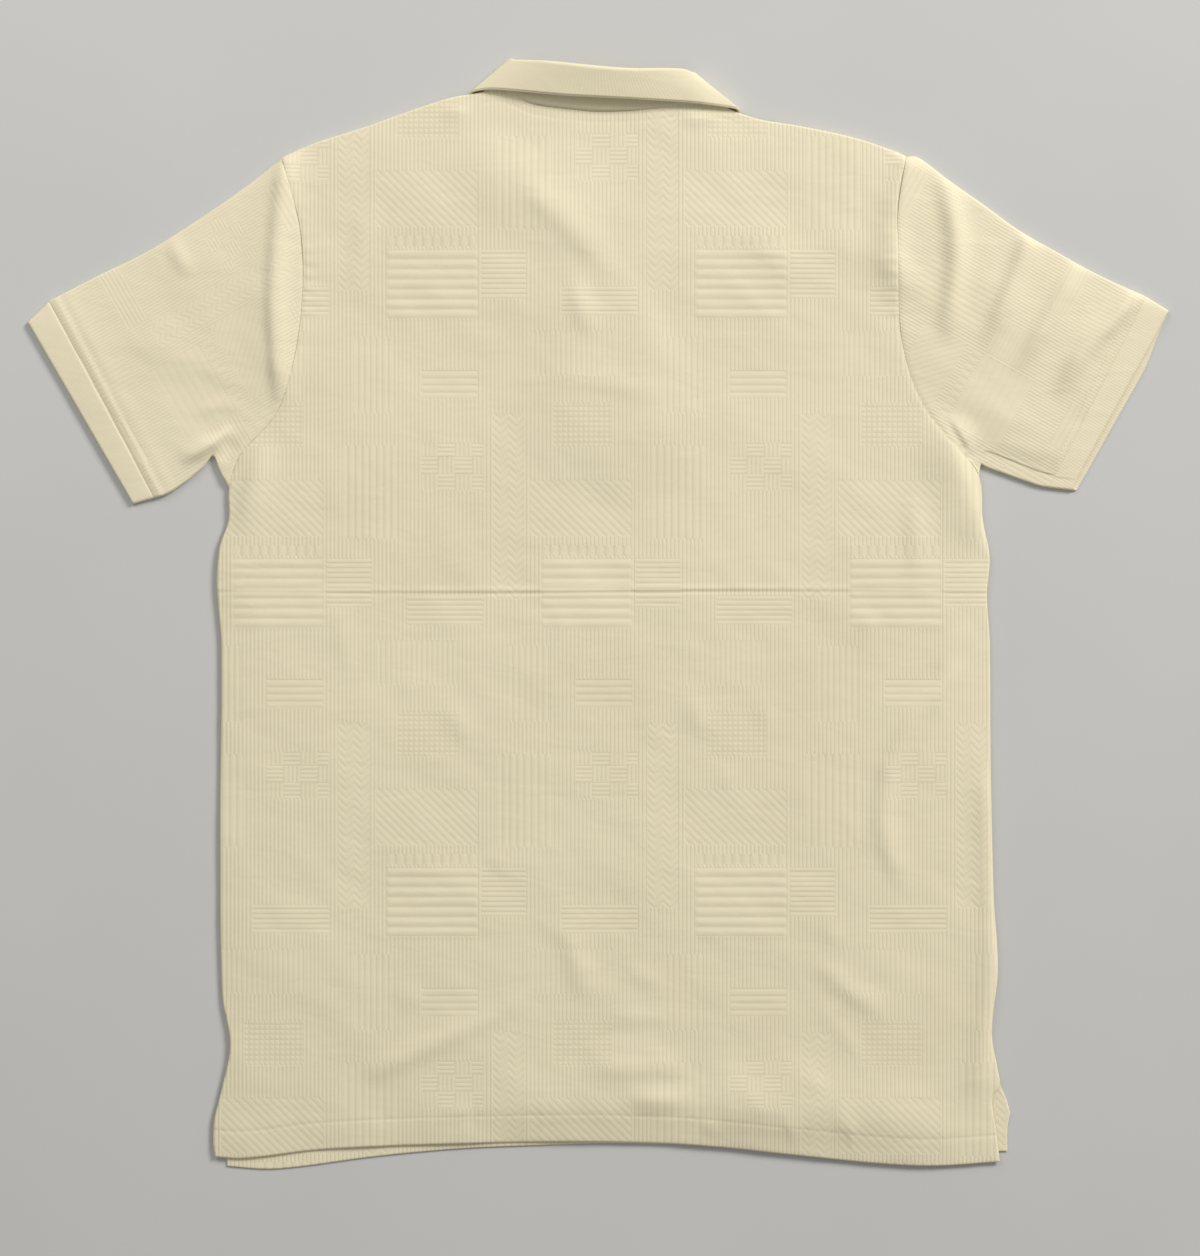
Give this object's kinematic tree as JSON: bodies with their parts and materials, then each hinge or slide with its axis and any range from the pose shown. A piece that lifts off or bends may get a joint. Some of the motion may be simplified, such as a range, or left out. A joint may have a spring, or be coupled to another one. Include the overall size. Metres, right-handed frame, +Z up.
{
  "type": "polo shirt",
  "caption": "Short-sleeved knit polo shirt laid out flat with its back up: textured panels, set-in sleeves with ribbed cuffs, folded rib collar and buttoned placket.",
  "frame": {"origin": "centre of the laid-out shirt's bounding box, on the surface that it lies on", "axes": "+Z up from the surface, out of the shirt's back; +Y from the hem to the collar; +X to the wearer's right"},
  "size_m": [0.8032, 0.7768, 0.0262],
  "materials": {
    "relief_knit": "cream cotton knit with a fine upright rib and raised blocks of broader ribs",
    "rib_knit": "cream fine flat rib knit",
    "button": "cream polished resin"
  },
  "bodies": {
    "root": {"back_panel": "relief_knit", "front_panel": "relief_knit", "sleeve_left": "relief_knit", "sleeve_right": "relief_knit", "cuff_left": "rib_knit", "cuff_right": "rib_knit", "collar": "rib_knit", "placket_outer": "relief_knit", "placket_inner": "relief_knit", "button_1": "button", "button_2": "button", "button_3": "button"}
  },
  "joints": []
}
